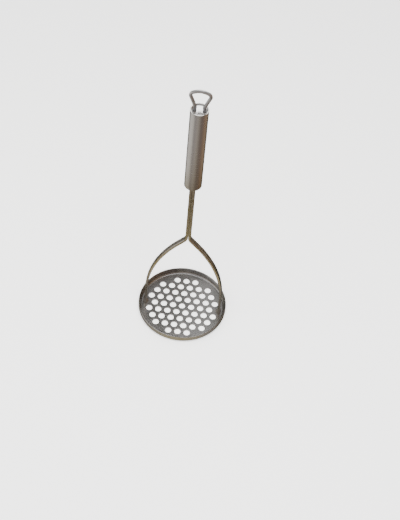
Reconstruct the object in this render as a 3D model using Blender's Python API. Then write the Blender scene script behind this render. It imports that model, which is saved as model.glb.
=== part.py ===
"""Potato masher: a perforated dish on two bent strip arms, with a tubular steel handle and a wire loop to hang it by.

Sizes are in metres. The origin is the centre of the dish's underside, +Z runs up the handle, and both arms lie in
the XZ plane.
"""

import math

import bmesh
import bpy
from mathutils import Matrix, Vector

GAP = 0.0003  # clearance between neighbouring pieces

# Perforated dish
PLATE_RADIUS = 0.0500
PLATE_HEIGHT = 0.0086
PLATE_SHEET = 0.0012
PLATE_CORNER = 0.0040  # outer radius where the floor turns up into the rim
PLATE_SEGMENTS = 64
HOLE_RADIUS = 0.0035
HOLE_PITCH = 0.0105
HOLE_FIELD = 0.0385  # no hole has its centre further out than this
HOLE_SEGMENTS = 16

# Arms, each bent from one flat strip
STRIP_THICKNESS = 0.0028
STRIP_WIDTH = 0.0065
STRIP_EDGE = 0.0006  # rounding of the strip's long edges
STRIP_PARTING = 0.0004  # distance between the two strips where they run side by side
STRIP_TOP = 0.2220  # the strips end inside the handle
FOOT_X = 0.0423
FOOT_BOTTOM = PLATE_SHEET + GAP
FORK_HEIGHT = 0.1240  # the strips start to part here
FORK_RADIUS = 0.0080
ARM_RADIUS = 0.1280  # the long sweep from the straight flank to the upright foot
ARM_ANGLE = math.radians(41.0)

# Weld beads along the inner and the outer side of each foot
BEAD_RADIUS = 0.0008
BEAD_LENGTH = 0.0067

# Handle
HANDLE_BOTTOM = 0.2040
HANDLE_LENGTH = 0.1020
HANDLE_RADIUS = 0.0090
HANDLE_WALL = 0.0010
HANDLE_SEGMENTS = 48
HANDLE_BOTTOM_EDGE = 0.0008
HANDLE_TOP_EDGE = 0.0003

# Caps that close the handle's two ends
CAP_RADIUS = HANDLE_RADIUS - HANDLE_WALL - GAP
CAP_SKIRT_WALL = 0.0006
CAP_SKIRT_LENGTH = 0.0060
CAP_SHEET = 0.0008
CAP_EDGE = 0.0002
DISH_DEPTH = 0.0015
DISH_FLOOR_RADIUS = 0.0050
DISH_RIM_RADIUS = 0.0076

# Hanging loop, one bent wire
WIRE_RADIUS = 0.0017
LOOP_LEG_END = -0.0042  # heights are above the handle's top
LOOP_LEG_X = 0.0050
LOOP_WAIST = Vector((0.0044, 0.0030))
LOOP_SHOULDER = Vector((0.0106, 0.0186))
LOOP_CROWN = 0.0231
LOOP_WAIST_BEND = 0.0060
LOOP_SHOULDER_BEND = 0.0040
LOOP_CROWN_BEND = 0.0140
NUGGET_RADIUS = 0.0015
NUGGET_HEIGHT = 0.0012
NUGGET_TOP = LOOP_LEG_END - 0.0006

SHAFT_X = (STRIP_PARTING + STRIP_THICKNESS) / 2
HANDLE_TOP = HANDLE_BOTTOM + HANDLE_LENGTH


def clear_scene():
    for obj in list(bpy.data.objects):
        bpy.data.objects.remove(obj)


def steel(name, color, roughness):
    material = bpy.data.materials.new(name)
    material.use_nodes = True
    shader = material.node_tree.nodes["Principled BSDF"]
    shader.inputs["Base Color"].default_value = (*color, 1.0)
    shader.inputs["Metallic"].default_value = 1.0
    shader.inputs["Roughness"].default_value = roughness
    return material


def add_object(name, data, location=(0.0, 0.0, 0.0), material=None):
    """Add an object under the masher's empty, which is the first object made."""
    root = bpy.data.objects.get("masher")
    obj = bpy.data.objects.new(name, data)
    bpy.context.scene.collection.objects.link(obj)
    obj.location = location
    obj.parent = root
    if material:
        data.materials.append(material)
    return obj


def mesh_from(name, bm, smooth=True):
    bmesh.ops.recalc_face_normals(bm, faces=bm.faces)
    mesh = bpy.data.meshes.new(name)
    bm.to_mesh(mesh)
    bm.free()
    if smooth:
        mesh.shade_smooth()
        mesh.set_sharp_from_angle(angle=math.radians(35))
    return mesh


def arc(center, radius, start, end, steps):
    """Points on a circular arc. center is (x, y), and start and end are angles in radians."""
    return [
        (
            center[0] + radius * math.cos(start + (end - start) * i / steps),
            center[1] + radius * math.sin(start + (end - start) * i / steps),
        )
        for i in range(steps + 1)
    ]


def turned(name, profile, segments, capped):
    """Turn an outline of (radius, height) points about Z. A capped outline starts and ends on flat faces across the
    axis, and any other closes on itself into a ring."""
    bm = bmesh.new()
    rings = [
        bmesh.ops.create_circle(
            bm, segments=segments, radius=radius, matrix=Matrix.Translation((0.0, 0.0, height))
        )["verts"]
        for radius, height in profile
    ]
    pairs = list(zip(rings, rings[1:]))
    if capped:
        bm.faces.new(rings[0])
        bm.faces.new(rings[-1])
    else:
        pairs.append((rings[-1], rings[0]))
    for first, second in pairs:
        for i in range(segments):
            j = (i + 1) % segments
            bm.faces.new((first[i], first[j], second[j], second[i]))
    return mesh_from(name, bm)


def punch(target, name, bm):
    """Cut the shape in bm, given in the target's own frame, out of target."""
    cutter = add_object(name, mesh_from(name, bm, smooth=False), target.location)
    cutter.hide_render = True
    cutter.display_type = "WIRE"
    cut = target.modifiers.new(name, "BOOLEAN")
    cut.operation = "DIFFERENCE"
    cut.solver = "EXACT"
    cut.object = cutter


def add_cylinder(bm, radius, depth, x, y, z, segments):
    place = Matrix.Translation((x, y, z))
    bmesh.ops.create_cone(
        bm, cap_ends=True, segments=segments, radius1=radius, radius2=radius, depth=depth, matrix=place
    )


def box(size_x, size_y, size_z, center_z):
    """A block centred on the Z axis, as a bmesh."""
    bm = bmesh.new()
    place = Matrix.Translation((0.0, 0.0, center_z)) @ Matrix.Diagonal((size_x, size_y, size_z, 1.0))
    bmesh.ops.create_cube(bm, size=1.0, matrix=place)
    return bm


def hole_centers():
    """Centres of a triangular grid of holes, with one on the axis."""
    reach = int(HOLE_FIELD / HOLE_PITCH) + 2
    centers = []
    for row in range(-reach, reach + 1):
        for column in range(-reach, reach + 1):
            center = Vector((column + row / 2, row * math.sqrt(3) / 2)) * HOLE_PITCH
            if center.length <= HOLE_FIELD:
                centers.append(center)
    return centers


def masher_plate(material):
    """One pressed dish: a perforated floor, a rounded corner and an upright rim."""
    outer = PLATE_RADIUS
    inner = PLATE_RADIUS - PLATE_SHEET
    inner_corner = PLATE_CORNER - PLATE_SHEET
    lip = PLATE_SHEET / 2
    corner_x = PLATE_RADIUS - PLATE_CORNER
    profile = arc((corner_x, PLATE_CORNER), PLATE_CORNER, math.radians(-90), 0.0, 4)
    profile += arc((outer - lip, PLATE_HEIGHT - lip), lip, 0.0, math.pi, 4)
    profile += arc((inner - inner_corner, PLATE_CORNER), inner_corner, 0.0, math.radians(-90), 4)
    plate = add_object(
        "masher_plate", turned("masher_plate", profile, PLATE_SEGMENTS, capped=True), material=material
    )
    bm = bmesh.new()
    for center in hole_centers():
        add_cylinder(bm, HOLE_RADIUS, 4 * PLATE_SHEET, center.x, center.y, PLATE_SHEET / 2, HOLE_SEGMENTS)
    punch(plate, "hole_punches", bm)


def arm_path():
    """The strip's centreline as (x, z), from the foot up into the handle."""
    sine = math.sin(ARM_ANGLE)
    bends = (ARM_RADIUS + FORK_RADIUS) * (1 - math.cos(ARM_ANGLE))
    flank = (FOOT_X - SHAFT_X - bends) / sine
    sweep_start = FORK_HEIGHT - (ARM_RADIUS + FORK_RADIUS) * sine - flank * math.cos(ARM_ANGLE)
    path = [(FOOT_X, FOOT_BOTTOM)]
    path += arc((FOOT_X - ARM_RADIUS, sweep_start), ARM_RADIUS, 0.0, ARM_ANGLE, 14)
    path += arc((SHAFT_X + FORK_RADIUS, FORK_HEIGHT), FORK_RADIUS, math.pi + ARM_ANGLE, math.pi, 6)
    path.append((SHAFT_X, STRIP_TOP))
    return path


def arm(name, side, material):
    """A strip bent to the arm's path. side is 1 on +X and -1 on -X."""
    bm = bmesh.new()
    verts = [bm.verts.new((side * x, -STRIP_WIDTH / 2, z)) for x, z in arm_path()]
    edges = [bm.edges.new(pair) for pair in zip(verts, verts[1:])]
    sheet = bmesh.ops.extrude_edge_only(bm, edges=edges)["geom"]
    moved = [item for item in sheet if isinstance(item, bmesh.types.BMVert)]
    bmesh.ops.translate(bm, vec=(0.0, STRIP_WIDTH, 0.0), verts=moved)
    obj = add_object(name, mesh_from(name, bm), material=material)
    thicken = obj.modifiers.new("thickness", "SOLIDIFY")
    thicken.thickness = STRIP_THICKNESS
    thicken.offset = 0.0
    thicken.use_even_offset = True
    soften = obj.modifiers.new("edges", "BEVEL")
    soften.width = STRIP_EDGE
    soften.segments = 2
    soften.limit_method = "ANGLE"
    soften.angle_limit = math.radians(60)


def foot_weld(name, side, outward, material):
    """A bead on the dish's floor along one side of a foot. outward is 1 on the side that faces the rim, or -1."""
    x = side * (FOOT_X + outward * (STRIP_THICKNESS / 2 + GAP + BEAD_RADIUS))
    bm = bmesh.new()
    stretch = Matrix.Diagonal((BEAD_RADIUS, BEAD_LENGTH / 2, BEAD_RADIUS, 1.0))
    bmesh.ops.create_uvsphere(bm, u_segments=10, v_segments=8, radius=1.0, matrix=stretch)
    add_object(name, mesh_from(name, bm), (x, 0.0, FOOT_BOTTOM + BEAD_RADIUS), material)


def handle_tube(material):
    """The grip, open at both ends, with softened outer edges."""
    outer = HANDLE_RADIUS
    inner = HANDLE_RADIUS - HANDLE_WALL
    low, high = HANDLE_BOTTOM_EDGE, HANDLE_TOP_EDGE
    profile = [(inner, 0.0)]
    profile += arc((outer - low, low), low, math.radians(-90), 0.0, 3)
    profile += arc((outer - high, HANDLE_LENGTH - high), high, 0.0, math.radians(90), 2)
    profile.append((inner, HANDLE_LENGTH))
    mesh = turned("handle_tube", profile, HANDLE_SEGMENTS, capped=False)
    add_object("handle_tube", mesh, (0.0, 0.0, HANDLE_BOTTOM), material)


def handle_end_cap(material):
    """A drawn cup in the handle's top: a shallow dish with a skirt below it, and two holes for the wire."""
    inner = CAP_RADIUS - CAP_SKIRT_WALL
    under = -DISH_DEPTH - CAP_SHEET
    reach = DISH_RIM_RADIUS - DISH_FLOOR_RADIUS
    drop = DISH_DEPTH - CAP_EDGE
    quarter = arc((0.0, 0.0), 1.0, 0.0, math.radians(-90), 6)
    slope = [(DISH_FLOOR_RADIUS + reach * x, drop * z - CAP_EDGE) for x, z in quarter]
    profile = [
        (DISH_FLOOR_RADIUS, under),
        (inner, under + CAP_EDGE),
        (inner, -CAP_SKIRT_LENGTH),
        (CAP_RADIUS, -CAP_SKIRT_LENGTH),
        (CAP_RADIUS, -CAP_EDGE),
    ]
    mesh = turned("handle_end_cap", profile + slope, HANDLE_SEGMENTS, capped=True)
    cap = add_object("handle_end_cap", mesh, (0.0, 0.0, HANDLE_TOP), material)
    bm = bmesh.new()
    for side in (-1, 1):
        x = side * loop_floor_x()
        add_cylinder(bm, WIRE_RADIUS + GAP, 4 * CAP_SHEET, x, 0.0, -DISH_DEPTH, HOLE_SEGMENTS)
    punch(cap, "leg_punches", bm)


def handle_base_cap(material):
    """A drawn cup that closes the handle's lower end, slotted for the two strips."""
    inner = CAP_RADIUS - CAP_SKIRT_WALL
    profile = [
        (CAP_RADIUS - CAP_EDGE, 0.0),
        (CAP_RADIUS, CAP_EDGE),
        (CAP_RADIUS, CAP_SKIRT_LENGTH),
        (inner, CAP_SKIRT_LENGTH),
        (inner, CAP_SHEET + CAP_EDGE),
        (inner - CAP_EDGE, CAP_SHEET),
    ]
    mesh = turned("handle_base_cap", profile, HANDLE_SEGMENTS, capped=True)
    cap = add_object("handle_base_cap", mesh, (0.0, 0.0, HANDLE_BOTTOM), material)
    slot_x = STRIP_PARTING + 2 * (STRIP_THICKNESS + GAP)
    slot_y = STRIP_WIDTH + 2 * GAP
    punch(cap, "strip_punch", box(slot_x, slot_y, 4 * CAP_SHEET, CAP_SHEET / 2))


def rounded(corners, bends, steps):
    """The open path through the corners, each inner corner turned into an arc of its own bend radius."""
    path = [corners[0]]
    for before, corner, after, bend in zip(corners, corners[1:], corners[2:], bends):
        back = (before - corner).normalized()
        ahead = (after - corner).normalized()
        half = back.angle(ahead) / 2
        center = corner + (back + ahead).normalized() * bend / math.sin(half)
        first = corner + back * bend / math.tan(half) - center
        turn = math.pi - 2 * half
        if back.cross(ahead) > 0:
            turn = -turn
        path += [center + Matrix.Rotation(turn * i / steps, 2) @ first for i in range(steps + 1)]
    path.append(corners[-1])
    return path


def loop_corners():
    leg = Vector((LOOP_LEG_X, LOOP_LEG_END))
    right = [LOOP_SHOULDER, LOOP_WAIST, leg]
    left = [Vector((-corner.x, corner.y)) for corner in reversed(right)]
    return [*left, Vector((0.0, LOOP_CROWN)), *right]


def loop_floor_x():
    """Where each leg crosses the end cap's floor."""
    share = (-DISH_DEPTH - LOOP_LEG_END) / (LOOP_WAIST.y - LOOP_LEG_END)
    return LOOP_LEG_X + (LOOP_WAIST.x - LOOP_LEG_X) * share


def hanging_loop(material):
    """A bent wire whose two legs pass through the end cap's floor."""
    bends = (LOOP_WAIST_BEND, LOOP_SHOULDER_BEND, LOOP_CROWN_BEND, LOOP_SHOULDER_BEND, LOOP_WAIST_BEND)
    path = rounded(loop_corners(), bends, 5)
    curve = bpy.data.curves.new("hanging_loop", "CURVE")
    curve.dimensions = "3D"
    curve.bevel_depth = WIRE_RADIUS
    curve.bevel_resolution = 3
    curve.use_fill_caps = True
    spline = curve.splines.new("POLY")
    spline.points.add(len(path) - 1)
    for point, place in zip(spline.points, path):
        point.co = (place.x, 0.0, place.y, 1.0)
    add_object("hanging_loop", curve, (0.0, 0.0, HANDLE_TOP), material)


def loop_weld(name, side, material):
    """A weld nugget on a leg's end, inside the handle."""
    bm = bmesh.new()
    add_cylinder(bm, NUGGET_RADIUS, NUGGET_HEIGHT, 0.0, 0.0, -NUGGET_HEIGHT / 2, HOLE_SEGMENTS)
    add_object(name, mesh_from(name, bm), (side * LOOP_LEG_X, 0.0, HANDLE_TOP + NUGGET_TOP), material)


def main():
    clear_scene()
    add_object("masher", None)
    brushed = steel("handle_steel", (0.60, 0.58, 0.55), 0.34)
    polished = steel("cap_steel", (0.70, 0.69, 0.68), 0.18)
    wire = steel("wire_steel", (0.66, 0.65, 0.63), 0.22)
    strip = steel("strip_steel", (0.58, 0.56, 0.52), 0.30)
    pressed = steel("plate_steel", (0.62, 0.61, 0.60), 0.26)
    weld = steel("weld_steel", (0.50, 0.49, 0.48), 0.45)

    masher_plate(pressed)
    for name, side in (("left", -1), ("right", 1)):
        arm(f"arm_{name}", side, strip)
        foot_weld(f"foot_weld_{name}_inner", side, -1, weld)
        foot_weld(f"foot_weld_{name}_outer", side, 1, weld)
        loop_weld(f"loop_weld_{name}", side, weld)
    handle_base_cap(brushed)
    handle_tube(brushed)
    handle_end_cap(polished)
    hanging_loop(wire)


main()
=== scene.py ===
"""Potato masher: the looks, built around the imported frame. Metres, in the frame's own axes."""

import math

import bmesh
import bpy
from mathutils import Matrix, Vector


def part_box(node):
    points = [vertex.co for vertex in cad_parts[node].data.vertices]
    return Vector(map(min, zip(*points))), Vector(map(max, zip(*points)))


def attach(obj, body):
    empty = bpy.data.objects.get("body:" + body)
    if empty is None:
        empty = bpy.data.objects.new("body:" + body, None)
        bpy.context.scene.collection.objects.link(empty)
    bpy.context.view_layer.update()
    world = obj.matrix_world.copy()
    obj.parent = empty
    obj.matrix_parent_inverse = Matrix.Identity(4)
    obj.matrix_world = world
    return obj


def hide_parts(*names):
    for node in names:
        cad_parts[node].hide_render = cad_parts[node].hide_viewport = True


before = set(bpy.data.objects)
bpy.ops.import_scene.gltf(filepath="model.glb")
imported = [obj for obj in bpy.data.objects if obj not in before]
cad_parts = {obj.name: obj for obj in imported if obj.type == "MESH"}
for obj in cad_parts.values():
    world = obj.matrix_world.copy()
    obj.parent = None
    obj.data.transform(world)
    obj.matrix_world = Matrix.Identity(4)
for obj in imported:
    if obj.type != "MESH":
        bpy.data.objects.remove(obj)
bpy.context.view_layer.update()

BODY = "root"

# Perforated dish
SHEET = 0.0012
DISH_CORNER = 0.0040  # outer radius where the floor turns up into the rim
HOLE_RADIUS = 0.0035
HOLE_PITCH = 0.0105
HOLE_FIELD = 0.0385
HOLE_EDGE_TOP = 0.00045  # the punch draws the upper edge in
HOLE_EDGE_UNDER = 0.00015
HOLE_SEGMENTS = 40
DISH_SEGMENTS = 192
DISH_STEPS = 12  # in each quarter or half turn of the rim's profile

# Arms
STRIP_THICKNESS = 0.00285
STRIP_EDGE = 0.0007
STRIP_EDGE_STEPS = 5
STRIP_PARTING = 0.00025
FORK_HEIGHT = 0.1240
FORK_RADIUS = 0.0080
FORK_STEPS = 20
ARM_RADIUS = 0.1280
ARM_STEPS = 48
ARM_ANGLE = math.radians(41.0)
ARM_LONGEST_STEP = 0.004

# Handle and its caps
HANDLE_WALL = 0.0010
HANDLE_BOTTOM_EDGE = 0.0008
HANDLE_TOP_EDGE = 0.0003
HANDLE_SEGMENTS = 160
CAP_SHEET = 0.0008
CAP_SKIRT_WALL = 0.0006
CAP_EDGE = 0.0002
CAP_DISH_DEPTH = 0.0015
CAP_FLOOR_RADIUS = 0.0050
CAP_RIM_RADIUS = 0.0076
CAP_SLOPE_STEPS = 14
CLEARANCE = 0.0003  # between a cap's punched hole and what goes through it

# Hanging loop. Its corners are (x, height above the handle's top).
WIRE_RADIUS = 0.0017
LOOP_LEG = Vector((0.0050, -0.0042))
LOOP_WAIST = Vector((0.0044, 0.0030))
LOOP_SHOULDER = Vector((0.0106, 0.0186))
LOOP_CROWN = Vector((0.0, 0.0228))
LOOP_BENDS = (0.0060, 0.0040, 0.0140, 0.0040, 0.0060)  # radii, from the left waist to the right one
LOOP_BEND_STEPS = 16
LOOP_LONGEST_STEP = 0.0012
WIRE_SIDES = 32

# Weld beads at the feet
BEAD_LEG = 0.0017
BEAD_THINNEST = 0.00002
BEAD_HOLLOW = 0.17  # share of the leg by which the bead's face is hollow in its middle
BEAD_RIPPLE = 0.00007
BEAD_RIPPLES = 7
BEAD_STATIONS = 56
BEAD_FAN_STEPS = 10

SUPPORT = 0.00015  # distance from a rounded edge to the row of points that keeps the flat beside it flat

# Edges that turn by more than this many degrees are shaded sharp: in general, on the wire and on the beads
SHARP_ANGLE = 40.0
WIRE_SHARP_ANGLE = 60.0
BEAD_SHARP_ANGLE = 70.0

# Stretches of a noise's values that a look runs over, from its one end to its other
NOISE_RANGE = (0.3, 0.7)
SMUDGE_RANGE = (0.4, 0.7)
NOISE_ROUGHNESS = 0.65

# How grain and wear show in every steel
GRAIN_TINT = 0.45  # share of the way from the base colour to the worn one
WEAR_TINT = 0.5  # the same, for a fully worn edge
WEAR_SMOOTHING = 0.25  # share of the roughness that a fully worn edge loses

# Camera
CAMERA_AZIMUTH = math.radians(2.96)
CAMERA_ELEVATION = math.radians(50.67)
CAMERA_ROLL = math.radians(6.05)
CAMERA_DISTANCE = 1.1507
CAMERA_AIM = Vector((0.0150, 0.0, 0.0879))
CAMERA_LENS = 73.4

# Studio
BACKDROP = (0.43, 0.43, 0.43, 1.0)
STAGE_SEGMENTS = 96
FLOOR_RADIUS = 40.0
FLOOR_COLOR = (0.55, 0.55, 0.545, 1.0)
FLOOR_GLOW_COLOR = (1.0, 1.0, 0.99, 1.0)
FLOOR_GLOW = 1.2
LIGHTS_AIM = Vector((0.0, 0.0, 0.12))

# The sky's tones go by the cosine of the angle to SKY_CENTER, its brightest direction
SKY_CENTER = (0.0, 0.60, 0.80)
SKY_STRENGTH = 5.2
SKY_TONES = (
    (0.00, (0.06, 0.06, 0.063)),
    (0.80, (0.08, 0.08, 0.083)),
    (0.93, (0.60, 0.60, 0.60)),
    (1.00, (0.90, 0.90, 0.90)),
)

# Reflection card, for painted reflections: an upright ring with a floor that glows and shows only in the
# steel's reflections, painted with the light and shade of surroundings. The ring's tones run round it, from
# the left (-X) through the front and the right, and are multiplied by those that run up it, which are placed
# by their height in metres. The floor's tones run from its front to its back.
CARD_RADIUS = 0.16
CARD_HEIGHT = 0.42
CARD_LIFT = 0.0005
CARD_FLOOR_TOP = 0.0001  # what lies higher on the card is wall
# How brightly the card glows: the strength of the painted reflections
CARD_STRENGTH = 2.0
CARD_ROUND = (
    # light on the left: painted highlights; the dark stops paint dark reflections
    (0.00, (0.95, 0.93, 0.91)),
    (0.09, (0.85, 0.82, 0.78)),
    (0.13, (0.44, 0.42, 0.42)),
    (0.18, (0.42, 0.39, 0.38)),
    (0.24, (0.50, 0.46, 0.43)),
    (0.30, (0.38, 0.34, 0.30)),
    (0.35, (0.23, 0.19, 0.17)),
    (0.42, (0.25, 0.19, 0.16)),
    (0.50, (0.36, 0.25, 0.17)),
    (0.56, (0.38, 0.28, 0.20)),
    (0.62, (0.11, 0.09, 0.07)),
    (0.70, (0.11, 0.10, 0.09)),
    # a narrow light band: a painted glint on the dish
    (0.73, (0.55, 0.54, 0.53)),
    (0.76, (0.11, 0.10, 0.09)),
    (0.89, (0.12, 0.11, 0.10)),
    (0.94, (0.85, 0.84, 0.83)),
    (1.00, (0.95, 0.93, 0.91)),
)
CARD_UP = (
    # darker and warmer toward the floor: painted shade in the reflections; lighter higher up
    (0.020, (0.18, 0.15, 0.085)),
    (0.080, (0.50, 0.49, 0.47)),
    (0.240, (0.45, 0.45, 0.45)),
    (0.300, (0.80, 0.80, 0.80)),
)
CARD_FLOOR = (
    # golden in front: a painted warm reflection; dark toward the back: painted shade
    (0.00, (0.13, 0.11, 0.065)),
    (0.15, (0.17, 0.14, 0.085)),
    (0.27, (0.34, 0.28, 0.155)),
    (0.32, (0.36, 0.31, 0.20)),
    (0.38, (0.20, 0.185, 0.16)),
    (0.45, (0.055, 0.05, 0.04)),
    (0.60, (0.03, 0.028, 0.022)),
)


# ---------------------------------------------------------------- mesh tools


def add_object(name, data):
    obj = bpy.data.objects.new(name, data)
    bpy.context.scene.collection.objects.link(obj)
    return obj


def new_bmesh():
    """An empty bmesh whose points carry how worn they are and where they lie along the metal's grain."""
    bm = bmesh.new()
    bm.verts.layers.float.new("wear")
    bm.verts.layers.float_vector.new("lie")
    return bm


def add_vert(bm, place, wear=0.0, lie=(0.0, 0.0, 0.0)):
    vert = bm.verts.new(place)
    vert[bm.verts.layers.float["wear"]] = wear
    vert[bm.verts.layers.float_vector["lie"]] = lie
    return vert


def bridge(bm, first, second):
    """Quads between two closed rings of the same number of points."""
    for i in range(len(first)):
        j = (i + 1) % len(first)
        bm.faces.new((first[i], first[j], second[j], second[i]))


def skin(bm, rings, closed):
    """Quads between neighbouring rings and, where closed is true, a face over each end."""
    for first, second in zip(rings, rings[1:]):
        bridge(bm, first, second)
    if closed:
        bm.faces.new(rings[0])
        bm.faces.new(rings[-1])


def mesh_from(name, bm, sharp=SHARP_ANGLE):
    """Turn bm into a smooth mesh, shaded sharp at edges that turn by more than sharp degrees."""
    bmesh.ops.recalc_face_normals(bm, faces=bm.faces)
    mesh = bpy.data.meshes.new(name)
    bm.to_mesh(mesh)
    bm.free()
    mesh.shade_smooth()
    mesh.set_sharp_from_angle(angle=math.radians(sharp))
    return mesh


def arc(center, radius, start, end, steps, wear=0.0):
    """Profile points (radius, height, wear) on a circular arc between two angles in degrees."""
    points = []
    for i in range(steps + 1):
        angle = math.radians(start + (end - start) * i / steps)
        points.append((center[0] + radius * math.cos(angle), center[1] + radius * math.sin(angle), wear))
    return points


def turn(bm, profile, segments, center=(0.0, 0.0), base=0.0, closed=False):
    """Turn a profile of (radius, height, wear) points about an upright axis, and return the rings."""
    rings = []
    length = 0.0
    before = profile[0]
    for radius, height, wear in profile:
        length += math.hypot(radius - before[0], height - before[1])
        before = (radius, height)
        ring = []
        for i in range(segments):
            angle = 2 * math.pi * i / segments
            place = (
                center[0] + radius * math.cos(angle),
                center[1] + radius * math.sin(angle),
                base + height,
            )
            ring.append(add_vert(bm, place, wear, (length, 0.0, 0.0)))
        rings.append(ring)
    skin(bm, rings, closed)
    return rings


def sweep(bm, path, section):
    """Run a section of (across, depth, wear) points along a path of (x, z) points in an upright plane."""
    rings = []
    length = 0.0
    for i, point in enumerate(path):
        before = path[max(i - 1, 0)]
        after = path[min(i + 1, len(path) - 1)]
        along = (after - before).normalized()
        side = Vector((along.y, -along.x))
        length += (point - before).length
        ring = []
        for across, depth, wear in section:
            flat = point + side * across
            ring.append(add_vert(bm, (flat.x, depth, flat.y), wear, (length, across, depth)))
        rings.append(ring)
    skin(bm, rings, closed=True)


def round_section(radius, sides):
    points = []
    for i in range(sides):
        angle = 2 * math.pi * i / sides
        points.append((radius * math.cos(angle), radius * math.sin(angle), 0.0))
    return points


def strip_section(thickness, width, edge):
    """A rectangle with rounded corners, worn along them, and a support point on both sides of each corner."""
    points = []
    for quarter in range(4):
        start = 90 * quarter
        flip_x = 1 if quarter in (0, 3) else -1
        flip_y = 1 if quarter in (0, 1) else -1
        center = (flip_x * (thickness / 2 - edge), flip_y * (width / 2 - edge))
        corner = arc(center, edge, start, start + 90, STRIP_EDGE_STEPS, wear=1.0)
        first = Vector(corner[0][:2]) + support_step(start - 90)
        last = Vector(corner[-1][:2]) + support_step(start + 180)
        points += [(first.x, first.y, 0.0), *corner, (last.x, last.y, 0.0)]
    return points


def support_step(angle):
    """A step of SUPPORT in the direction of an angle in degrees."""
    return Vector((math.cos(math.radians(angle)), math.sin(math.radians(angle)))) * SUPPORT


def rounded(corners, bends, steps):
    """The open path through the corners, each inner corner turned into an arc of its own bend radius."""
    path = [corners[0]]
    for before, corner, after, bend in zip(corners, corners[1:], corners[2:], bends):
        back = (before - corner).normalized()
        ahead = (after - corner).normalized()
        half = back.angle(ahead) / 2
        center = corner + (back + ahead).normalized() * bend / math.sin(half)
        first = corner + back * bend / math.tan(half) - center
        turned = math.pi - 2 * half
        if back.cross(ahead) > 0:
            turned = -turned
        path += [center + Matrix.Rotation(turned * i / steps, 2) @ first for i in range(steps + 1)]
    path.append(corners[-1])
    return path


def subdivided(path, longest):
    """The same path, with no step longer than longest."""
    points = [path[0]]
    for before, after in zip(path, path[1:]):
        count = max(1, math.ceil((after - before).length / longest))
        points += [before.lerp(after, (i + 1) / count) for i in range(count)]
    return points


def show(name, mesh, material, slot, *nodes):
    """Show a mesh in place of CAD nodes. It moves with the masher's one body."""
    obj = add_object(name, mesh)
    mesh.materials.append(material)
    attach(obj, BODY)
    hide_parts(*nodes)
    return obj


def cut(obj, name, bm):
    """Cut the shape in bm out of obj, with the result kept in obj's own mesh."""
    cutter = add_object(name, mesh_from(name, bm))
    modifier = obj.modifiers.new(name, "BOOLEAN")
    modifier.operation = "DIFFERENCE"
    modifier.solver = "EXACT"
    modifier.object = cutter
    bpy.context.view_layer.update()
    evaluated = obj.evaluated_get(bpy.context.evaluated_depsgraph_get())
    mesh = bpy.data.meshes.new_from_object(evaluated)
    mesh.set_sharp_from_angle(angle=math.radians(SHARP_ANGLE))
    obj.modifiers.clear()
    obj.data = mesh
    bpy.data.objects.remove(cutter)


# ---------------------------------------------------------------- pieces


def hole_centers():
    """Centres of a triangular grid of holes, with one on the axis."""
    reach = int(HOLE_FIELD / HOLE_PITCH) + 2
    centers = []
    for row in range(-reach, reach + 1):
        for column in range(-reach, reach + 1):
            center = Vector((column + row / 2, row * math.sqrt(3) / 2)) * HOLE_PITCH
            if center.length <= HOLE_FIELD:
                centers.append(center)
    return centers


def hole_profile():
    """The wall of a punched hole, from the flat above it to the flat below."""
    top = HOLE_RADIUS + HOLE_EDGE_TOP
    under = HOLE_RADIUS + HOLE_EDGE_UNDER
    profile = [(top + SUPPORT, SHEET, 0.0)]
    profile += arc((top, SHEET - HOLE_EDGE_TOP), HOLE_EDGE_TOP, 90, 180, steps=5, wear=0.7)
    profile += arc((under, HOLE_EDGE_UNDER), HOLE_EDGE_UNDER, 180, 270, steps=3, wear=0.5)
    profile.append((under + SUPPORT, 0.0, 0.0))
    return profile


def dish(material):
    """One pressed dish: a perforated floor, a rounded corner and an upright rim."""
    low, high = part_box("masher_plate")
    radius = (high.x - low.x) / 2
    height = high.z - low.z
    inner = DISH_CORNER - SHEET
    lip = SHEET / 2
    flat = radius - DISH_CORNER
    profile = [(flat - SUPPORT, SHEET, 0.0)]
    profile += arc((flat, DISH_CORNER), inner, -90, 0, DISH_STEPS)
    profile.append((radius - SHEET, height - lip - SUPPORT, 0.0))
    profile += arc((radius - lip, height - lip), lip, 180, 0, DISH_STEPS, wear=1.0)
    profile.append((radius, height - lip - SUPPORT, 0.0))
    profile += arc((flat, DISH_CORNER), DISH_CORNER, 0, -90, DISH_STEPS)
    profile.append((flat - SUPPORT, 0.0, 0.0))
    bm = new_bmesh()
    bowl = turn(bm, profile, DISH_SEGMENTS)
    above, below = [bowl[0]], [bowl[-1]]
    for center in hole_centers():
        rings = turn(bm, hole_profile(), HOLE_SEGMENTS, center)
        above.append(rings[0])
        below.append(rings[-1])
    for rings in (above, below):
        fill_between(bm, rings)
    show("dish", mesh_from("dish", bm), material, "plate_steel", "masher_plate")


def fill_between(bm, rings):
    """Triangles over the flat sheet between its outer ring and the rings round its holes."""
    edges = []
    for ring in rings:
        for first, second in zip(ring, ring[1:] + ring[:1]):
            edges.append(bm.edges.get((first, second)))
    bmesh.ops.triangle_fill(bm, use_beauty=True, use_dissolve=False, edges=edges, normal=(0.0, 0.0, 1.0))


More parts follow.
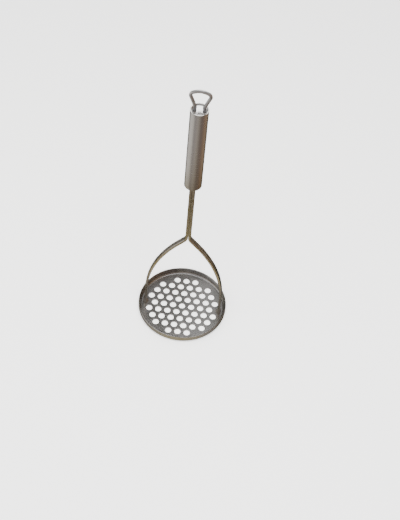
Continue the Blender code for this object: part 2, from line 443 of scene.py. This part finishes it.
def arm_path(side):
    """The strip's centreline as (x, z), from the dish's floor up into the handle."""
    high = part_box("arm_right")[1]
    shaft_x = (STRIP_PARTING + STRIP_THICKNESS) / 2
    foot_x = high.x - STRIP_THICKNESS / 2
    bends = (ARM_RADIUS + FORK_RADIUS) * (1 - math.cos(ARM_ANGLE))
    flank = (foot_x - shaft_x - bends) / math.sin(ARM_ANGLE)
    climb = (ARM_RADIUS + FORK_RADIUS) * math.sin(ARM_ANGLE) + flank * math.cos(ARM_ANGLE)
    sweep_start = FORK_HEIGHT - climb
    angle = math.degrees(ARM_ANGLE)
    curve = [(foot_x, SHEET, 0.0)]
    curve += arc((foot_x - ARM_RADIUS, sweep_start), ARM_RADIUS, 0, angle, ARM_STEPS)
    curve += arc((shaft_x + FORK_RADIUS, FORK_HEIGHT), FORK_RADIUS, 180 + angle, 180, FORK_STEPS)
    curve.append((shaft_x, high.z, 0.0))
    return subdivided([Vector((side * x, z)) for x, z, _ in curve], ARM_LONGEST_STEP)


def arm(name, side, node, material):
    """One bent strip. Side is 1 for the right arm and -1 for the left one."""
    low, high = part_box(node)
    section = strip_section(STRIP_THICKNESS, high.y - low.y, STRIP_EDGE)
    bm = new_bmesh()
    sweep(bm, arm_path(side), section)
    show(name, mesh_from(name, bm), material, "strip_steel", node)


def foot_bead(name, side, outward, node, material):
    """A fillet weld between a foot and the dish's floor, rippled along its length and drawn in at both ends.

    Outward is 1 on the foot's outer side and -1 on its inner side.
    """
    low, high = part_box(node)
    half = (high.y - low.y) / 2
    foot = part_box("arm_right")[1].x - STRIP_THICKNESS / 2
    wall = side * (foot + outward * STRIP_THICKNESS / 2)
    bm = new_bmesh()
    rings = []
    for i in range(BEAD_STATIONS + 1):
        share = 2 * i / BEAD_STATIONS - 1
        swell = (1.0 - abs(share) ** 5) ** 0.5
        ripple = math.sin(math.pi * BEAD_RIPPLES * share)
        leg = max((BEAD_LEG + BEAD_RIPPLE * ripple) * swell, BEAD_THINNEST)
        ring = [add_vert(bm, (wall, share * half, SHEET))]
        for j in range(BEAD_FAN_STEPS + 1):
            angle = math.pi / 2 * j / BEAD_FAN_STEPS
            reach = leg * (1.0 - BEAD_HOLLOW * math.sin(2 * angle))
            place = (
                wall + side * outward * reach * math.cos(angle),
                share * half,
                SHEET + reach * math.sin(angle),
            )
            ring.append(add_vert(bm, place, 0.5 + 0.5 * ripple))
        rings.append(ring)
    skin(bm, rings, closed=True)
    show(name, mesh_from(name, bm, BEAD_SHARP_ANGLE), material, "weld_steel", node)


def grip(material):
    """The handle's tube, open at both ends."""
    low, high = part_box("handle_tube")
    radius = (high.x - low.x) / 2
    length = high.z - low.z
    inner = radius - HANDLE_WALL
    low_edge, high_edge = HANDLE_BOTTOM_EDGE, HANDLE_TOP_EDGE
    profile = [(inner, SUPPORT, 0.0), (inner + CAP_EDGE, 0.0, 0.6)]
    profile += arc((radius - low_edge, low_edge), low_edge, -90, 0, steps=8, wear=0.8)
    profile.append((radius, low_edge + SUPPORT, 0.0))
    profile.append((radius, length - high_edge - SUPPORT, 0.0))
    profile += arc((radius - high_edge, length - high_edge), high_edge, 0, 90, steps=5, wear=0.9)
    profile += arc((inner + CAP_EDGE, length - CAP_EDGE), CAP_EDGE, 90, 180, steps=4, wear=0.8)
    profile.append((inner, length - CAP_EDGE - SUPPORT, 0.0))
    bm = new_bmesh()
    rings = turn(bm, profile, HANDLE_SEGMENTS, base=low.z)
    bridge(bm, rings[-1], rings[0])
    show("grip", mesh_from("grip", bm), material, "handle_steel", "handle_tube")


def grip_end(material):
    """The polished cap in the handle's top: a shallow dish with a skirt, and two holes for the wire."""
    low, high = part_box("handle_end_cap")
    radius = (high.x - low.x) / 2
    skirt = high.z - low.z
    inner = radius - CAP_SKIRT_WALL
    under = -CAP_DISH_DEPTH - CAP_SHEET
    reach = CAP_RIM_RADIUS - CAP_FLOOR_RADIUS
    drop = CAP_DISH_DEPTH - CAP_EDGE
    profile = [
        (CAP_FLOOR_RADIUS, under, 0.0),
        (inner, under + CAP_EDGE, 0.0),
        (inner, -skirt, 0.0),
        (radius, -skirt, 0.0),
        (radius, -CAP_EDGE - SUPPORT, 0.0),
    ]
    profile += arc((radius - CAP_EDGE, -CAP_EDGE), CAP_EDGE, 0, 90, steps=4, wear=1.0)
    for x, z, wear in arc((0.0, 0.0), 1.0, 0, -90, CAP_SLOPE_STEPS):
        edge = CAP_EDGE * (1 + z)
        profile.append((CAP_FLOOR_RADIUS + reach * x - edge, drop * z - edge / 2, wear))
    profile.append((CAP_FLOOR_RADIUS - 4 * SUPPORT, -CAP_DISH_DEPTH, 0.0))
    bm = new_bmesh()
    turn(bm, profile, HANDLE_SEGMENTS, base=high.z, closed=True)
    obj = show("grip_end", mesh_from("grip_end", bm), material, "cap_steel", "handle_end_cap")
    share_at_floor = (-CAP_DISH_DEPTH - LOOP_LEG.y) / (LOOP_WAIST.y - LOOP_LEG.y)
    leg_x = LOOP_LEG.lerp(LOOP_WAIST, share_at_floor).x
    punches = new_bmesh()
    for side in (-1, 1):
        rod = [(WIRE_RADIUS + CLEARANCE, z, 0.0) for z in (-3 * CAP_SHEET, 2 * CAP_SHEET)]
        turn(punches, rod, HOLE_SEGMENTS, (side * leg_x, 0.0), high.z - CAP_DISH_DEPTH, closed=True)
    cut(obj, "leg_punches", punches)


def grip_base(material):
    """The cap that closes the handle's lower end round the two strips."""
    low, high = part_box("handle_base_cap")
    radius = (high.x - low.x) / 2
    height = high.z - low.z
    inner = radius - CAP_SKIRT_WALL
    profile = [(radius - CAP_EDGE - SUPPORT, 0.0, 0.0)]
    profile += arc((radius - CAP_EDGE, CAP_EDGE), CAP_EDGE, -90, 0, steps=4, wear=0.8)
    profile += [
        (radius, CAP_EDGE + SUPPORT, 0.0),
        (radius, height, 0.0),
        (inner, height, 0.0),
        (inner, CAP_SHEET, 0.0),
    ]
    bm = new_bmesh()
    turn(bm, profile, HANDLE_SEGMENTS, base=low.z, closed=True)
    obj = show("grip_base", mesh_from("grip_base", bm), material, "handle_steel", "handle_base_cap")
    arm_low, arm_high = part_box("arm_right")
    size = (
        STRIP_PARTING + 2 * (STRIP_THICKNESS + CLEARANCE),
        arm_high.y - arm_low.y + 2 * CLEARANCE,
        4 * CAP_SHEET,
    )
    slot = new_bmesh()
    place = Matrix.Translation((0.0, 0.0, low.z + CAP_SHEET / 2)) @ Matrix.Diagonal((*size, 1.0))
    bmesh.ops.create_cube(slot, size=1.0, matrix=place)
    cut(obj, "strip_punch", slot)


def wire_loop(material):
    """The bent wire that the masher hangs by."""
    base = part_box("handle_tube")[1].z
    right = [LOOP_SHOULDER, LOOP_WAIST, LOOP_LEG]
    left = [Vector((-corner.x, corner.y)) for corner in reversed(right)]
    corners = [corner + Vector((0.0, base)) for corner in (*left, LOOP_CROWN, *right)]
    path = subdivided(rounded(corners, LOOP_BENDS, LOOP_BEND_STEPS), LOOP_LONGEST_STEP)
    bm = new_bmesh()
    sweep(bm, path, round_section(WIRE_RADIUS, WIRE_SIDES))
    mesh = mesh_from("wire_loop", bm, WIRE_SHARP_ANGLE)
    show("wire_loop", mesh, material, "wire_steel", "hanging_loop")


# ---------------------------------------------------------------- materials


def add_node(tree, kind, values=None, **settings):
    node = tree.nodes.new(kind)
    for name, value in settings.items():
        setattr(node, name, value)
    for name, value in (values or {}).items():
        node.inputs[name].default_value = value
    return node


def wired(tree, kind, links, values=None, **settings):
    """Add a node, link the given outputs into its inputs, and return its first output."""
    node = add_node(tree, kind, values, **settings)
    for name, output in links.items():
        tree.links.new(output, node.inputs[name])
    return node.outputs[0]


def object_place(tree):
    return add_node(tree, "ShaderNodeTexCoord").outputs["Object"]


def mesh_value(tree, name, output="Fac"):
    return add_node(tree, "ShaderNodeAttribute", attribute_name=name).outputs[output]


def noise(tree, place, size, detail=4.0):
    """Noise whose features have the given size in metres along each axis."""
    mapped = wired(tree, "ShaderNodeMapping", {"Vector": place}, {"Scale": size}, vector_type="TEXTURE")
    values = {"Scale": 1.0, "Detail": detail, "Roughness": NOISE_ROUGHNESS}
    return wired(tree, "ShaderNodeTexNoise", {"Vector": mapped}, values)


def remap(tree, value, low, high, to_low, to_high):
    return wired(
        tree,
        "ShaderNodeMapRange",
        {"Value": value},
        {"From Min": low, "From Max": high, "To Min": to_low, "To Max": to_high},
    )


def add(tree, first, second):
    return wired(tree, "ShaderNodeMath", {0: first, 1: second}, operation="ADD")


def toned(tree, factor, stops):
    """The colour that a ramp gives for factor. Each of its stops is a position and a colour."""
    node = add_node(tree, "ShaderNodeValToRGB")
    ramp = node.color_ramp
    while len(ramp.elements) < len(stops):
        ramp.elements.new(0.5)
    for element, (position, color) in zip(ramp.elements, stops):
        element.position = position
        element.color = (*color, 1.0)
    tree.links.new(factor, node.inputs["Fac"])
    return node.outputs["Color"]


def bump(tree, height, distance, normal=None):
    links = {"Height": height}
    if normal:
        links["Normal"] = normal
    return wired(tree, "ShaderNodeBump", links, {"Strength": 1.0, "Distance": distance})


def new_material(name):
    """A new material, its node tree and its shader."""
    material = bpy.data.materials.new(name)
    material.use_nodes = True
    tree = material.node_tree
    return material, tree, tree.nodes["Principled BSDF"]


def steel(name):
    material, tree, shader = new_material(name)
    shader.inputs["Metallic"].default_value = 1.0
    return material, tree, shader


def finish_steel(tree, shader, grain, fine, base, worn, rough, spread, depth, smudged=None):
    """Wire a steel from two noises: grain drives tint and roughness, and fine gives the relief its height.

    Worn edges are brighter and smoother. Smudged, where it is given, is added to the roughness.
    """
    wear = mesh_value(tree, "wear")
    tone = add(
        tree,
        remap(tree, grain, *NOISE_RANGE, 0.0, GRAIN_TINT),
        remap(tree, wear, 0.0, 1.0, 0.0, WEAR_TINT),
    )
    tree.links.new(toned(tree, tone, ((0.0, base), (1.0, worn))), shader.inputs["Base Color"])
    roughness = add(
        tree,
        remap(tree, grain, *NOISE_RANGE, rough - spread, rough + spread),
        remap(tree, wear, 0.0, 1.0, 0.0, -rough * WEAR_SMOOTHING),
    )
    if smudged:
        roughness = add(tree, roughness, smudged)
    tree.links.new(roughness, shader.inputs["Roughness"])
    tree.links.new(bump(tree, fine, depth), shader.inputs["Normal"])


def smudges(tree, place, size, amount):
    """Faint cloudy patches, as handling leaves on steel, as an offset of roughness."""
    return remap(tree, noise(tree, place, (size, size, size), detail=2.0), *SMUDGE_RANGE, 0.0, amount)


def handle_steel():
    """Tube ground round its axis: fine broken rings."""
    material, tree, shader = steel("handle_steel")
    place = object_place(tree)
    grain = noise(tree, place, (0.030, 0.030, 0.00025), detail=2.0)
    fine = noise(tree, place, (0.010, 0.010, 0.00009), detail=2.0)
    finish_steel(
        tree, shader, grain, fine,
        base=(0.56, 0.54, 0.515),
        worn=(0.70, 0.685, 0.66),
        rough=0.22,
        spread=0.03,
        depth=0.000005,
        smudged=smudges(tree, place, size=0.016, amount=0.05),
    )
    return material


def cap_steel():
    """Polished cap with faint turning rings."""
    material, tree, shader = steel("cap_steel")
    place = object_place(tree)
    lie = mesh_value(tree, "lie", "Vector")
    grain = noise(tree, place, (0.004, 0.004, 0.004))
    rings = noise(tree, lie, (0.00035, 1.0, 1.0), detail=3.0)
    finish_steel(
        tree, shader, grain, rings,
        base=(0.70, 0.695, 0.69),
        worn=(0.82, 0.815, 0.81),
        rough=0.20,
        spread=0.03,
        depth=0.000004,
        smudged=smudges(tree, place, size=0.005, amount=0.04),
    )
    return material


def wire_steel():
    """Drawn and polished wire: faint lines along it."""
    material, tree, shader = steel("wire_steel")
    place = object_place(tree)
    lie = mesh_value(tree, "lie", "Vector")
    grain = noise(tree, place, (0.006, 0.006, 0.006))
    drawn = noise(tree, lie, (0.010, 0.0004, 0.0004))
    finish_steel(
        tree, shader, grain, drawn,
        base=(0.50, 0.495, 0.49),
        worn=(0.62, 0.615, 0.61),
        rough=0.31,
        spread=0.03,
        depth=0.000005,
        smudged=smudges(tree, place, size=0.006, amount=0.04),
    )
    return material


def strip_steel():
    """Tumbled strip: lines along it, bright worn edges and small marks."""
    material, tree, shader = steel("strip_steel")
    place = object_place(tree)
    lie = mesh_value(tree, "lie", "Vector")
    grain = noise(tree, lie, (0.018, 0.0005, 0.0005), detail=5.0)
    marks = noise(tree, place, (0.0012, 0.0012, 0.0012), detail=3.0)
    drawn = noise(tree, lie, (0.012, 0.00025, 0.00025))
    fine = add(tree, drawn, remap(tree, marks, *NOISE_RANGE, 0.0, 0.3))
    finish_steel(
        tree, shader, grain, fine,
        base=(0.50, 0.475, 0.43),
        worn=(0.66, 0.635, 0.58),
        rough=0.25,
        spread=0.04,
        depth=0.000008,
        smudged=smudges(tree, place, size=0.010, amount=0.06),
    )
    return material


def plate_steel():
    """Pressed sheet: the mill's straight grain, a faint waviness from the press, and bright edges."""
    material, tree, shader = steel("plate_steel")
    place = object_place(tree)
    grain = noise(tree, place, (0.030, 0.0006, 0.030), detail=5.0)
    fine = noise(tree, place, (0.020, 0.0003, 0.020))
    finish_steel(
        tree, shader, grain, fine,
        base=(0.43, 0.425, 0.42),
        worn=(0.66, 0.655, 0.65),
        rough=0.18,
        spread=0.04,
        depth=0.000007,
        smudged=smudges(tree, place, size=0.012, amount=0.07),
    )
    wave = noise(tree, place, (0.014, 0.014, 0.014), detail=1.0)
    finished = shader.inputs["Normal"].links[0].from_socket
    tree.links.new(bump(tree, wave, distance=0.00012, normal=finished), shader.inputs["Normal"])
    return material


def weld_steel():
    """Weld metal: small pits, brighter crests and a little straw tint from the heat."""
    material, tree, shader = steel("weld_steel")
    place = object_place(tree)
    pits = noise(tree, place, (0.00045, 0.00045, 0.00045))
    heat = noise(tree, place, (0.0025, 0.0020, 0.0025), detail=2.0)
    finish_steel(
        tree, shader, heat, pits,
        base=(0.40, 0.37, 0.34),
        worn=(0.55, 0.53, 0.52),
        rough=0.38,
        spread=0.07,
        depth=0.00005,
    )
    return material


def paint_cad_node(name, material):
    """Give a CAD node that stays in view its procedural material."""
    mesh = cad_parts[name].data
    mesh.materials.clear()
    mesh.materials.append(material)


# ---------------------------------------------------------------- studio


def stage_piece(name, bm, material):
    mesh = bpy.data.meshes.new(name)
    bm.to_mesh(mesh)
    bm.free()
    mesh.materials.append(material)
    return add_object(name, mesh)


def studio_floor():
    """A pale floor that glows a little, so that it stays light far away from the softboxes."""
    material, _, shader = new_material("studio_floor")
    shader.inputs["Base Color"].default_value = FLOOR_COLOR
    shader.inputs["Roughness"].default_value = 0.7
    shader.inputs["Specular IOR Level"].default_value = 0.2
    shader.inputs["Emission Color"].default_value = FLOOR_GLOW_COLOR
    shader.inputs["Emission Strength"].default_value = FLOOR_GLOW
    bm = bmesh.new()
    bmesh.ops.create_circle(bm, cap_ends=True, segments=STAGE_SEGMENTS, radius=FLOOR_RADIUS)
    floor = stage_piece("studio_floor", bm, material)


def softbox(name, place, size, power, color):
    """A soft light that doesn't show in the steel's reflections."""
    light = bpy.data.lights.new(name, "AREA")
    light.shape = "RECTANGLE"
    light.size, light.size_y = size
    light.energy = power
    light.color = color
    obj = add_object(name, light)
    obj.location = place
    obj.visible_glossy = False
    obj.rotation_euler = (LIGHTS_AIM - obj.location).to_track_quat("-Z", "Y").to_euler()


def studio_lights():
    softbox("key_light", Vector((0.08, -0.35, 1.42)), size=(0.9, 0.7), power=72.0, color=(1.0, 0.99, 0.98))
    softbox("fill_light", Vector((-1.2, -0.5, 1.0)), size=(0.9, 0.9), power=24.0, color=(0.97, 0.98, 1.0))


def studio_world():
    """A soft sky, brightest high behind the masher. The camera itself sees a plain pale backdrop."""
    world = bpy.data.worlds.new("studio_world")
    world.use_nodes = True
    tree = world.node_tree
    direction = add_node(tree, "ShaderNodeTexCoord").outputs["Generated"]
    towards = add_node(tree, "ShaderNodeVectorMath", operation="DOT_PRODUCT")
    tree.links.new(direction, towards.inputs[0])
    towards.inputs[1].default_value = SKY_CENTER
    sky = toned(tree, towards.outputs["Value"], SKY_TONES)
    by_camera = add_node(tree, "ShaderNodeLightPath").outputs["Is Camera Ray"]
    seen = wired(tree, "ShaderNodeMixRGB", {"Fac": by_camera, "Color1": sky}, {"Color2": BACKDROP})
    background = tree.nodes["Background"]
    background.inputs["Strength"].default_value = SKY_STRENGTH
    tree.links.new(seen, background.inputs["Color"])
    bpy.context.scene.world = world


def painted_reflection_card():
    """An upright ring and its floor that glow, dark and light by turns, and show only in reflections: painted
    reflections.
    """
    material, tree, shader = new_material("painted_reflection_card")
    tree.nodes.remove(shader)
    place = object_place(tree)
    along = add_node(tree, "ShaderNodeSeparateXYZ")
    tree.links.new(place, along.inputs[0])
    height = along.outputs["Z"]
    angle = wired(tree, "ShaderNodeTexGradient", {"Vector": place}, gradient_type="RADIAL")
    up = remap(tree, height, 0.0, CARD_HEIGHT, 0.0, 1.0)
    back = remap(tree, along.outputs["Y"], -CARD_RADIUS, CARD_RADIUS, 0.0, 1.0)
    round_tone = toned(tree, angle, CARD_ROUND)
    up_tone = toned(tree, up, [(level / CARD_HEIGHT, color) for level, color in CARD_UP])
    floor_tone = toned(tree, back, CARD_FLOOR)
    tones = {"Color1": round_tone, "Color2": up_tone}
    wall = wired(tree, "ShaderNodeMixRGB", tones, {"Fac": 1.0}, blend_type="MULTIPLY")
    is_wall = wired(tree, "ShaderNodeMath", {0: height}, {1: CARD_FLOOR_TOP}, operation="GREATER_THAN")
    whole = wired(tree, "ShaderNodeMixRGB", {"Fac": is_wall, "Color1": floor_tone, "Color2": wall})
    # The card glows, though it is no lamp: its tones are painted light and shade for the steel to reflect
    glow = wired(tree, "ShaderNodeEmission", {"Color": whole}, {"Strength": CARD_STRENGTH})
    tree.links.new(glow, tree.nodes["Material Output"].inputs["Surface"])
    bm = bmesh.new()
    bmesh.ops.create_circle(bm, cap_ends=True, segments=STAGE_SEGMENTS, radius=CARD_RADIUS)
    wall_top = bmesh.ops.extrude_edge_only(bm, edges=bm.edges[:])["geom"]
    lifted = [item for item in wall_top if isinstance(item, bmesh.types.BMVert)]
    bmesh.ops.translate(bm, vec=(0.0, 0.0, CARD_HEIGHT), verts=lifted)
    card = stage_piece("painted_reflection_card", bm, material)
    card.location.z = CARD_LIFT
    card.visible_camera = False
    card.visible_diffuse = False
    card.visible_shadow = False


def studio_camera():
    """A camera above and in front of the masher, rolled so that the handle leans to the right."""
    azimuth, elevation = CAMERA_AZIMUTH, CAMERA_ELEVATION
    flat = math.cos(elevation)
    back = Vector((math.sin(azimuth) * flat, -math.cos(azimuth) * flat, math.sin(elevation)))
    camera = bpy.data.cameras.new("camera")
    camera.lens = CAMERA_LENS
    obj = add_object("camera", camera)
    facing = back.to_track_quat("Z", "Y").to_matrix().to_4x4()
    roll = Matrix.Rotation(CAMERA_ROLL, 4, "Z")
    obj.matrix_world = Matrix.Translation(CAMERA_AIM + back * CAMERA_DISTANCE) @ facing @ roll
    bpy.context.scene.camera = obj


def main():
    handle, cap, wire = handle_steel(), cap_steel(), wire_steel()
    strip, plate, weld = strip_steel(), plate_steel(), weld_steel()

    dish(plate)
    for name, side in (("left", -1), ("right", 1)):
        arm(f"strip_{name}", side, f"arm_{name}", strip)
        for place, outward in (("inner", -1), ("outer", 1)):
            foot_bead(f"bead_{name}_{place}", side, outward, f"foot_weld_{name}_{place}", weld)
        paint_cad_node(f"loop_weld_{name}", weld)
    grip(handle)
    grip_base(handle)
    grip_end(cap)
    wire_loop(wire)

    studio_floor()
    studio_lights()
    studio_world()
    painted_reflection_card()
    studio_camera()


main()
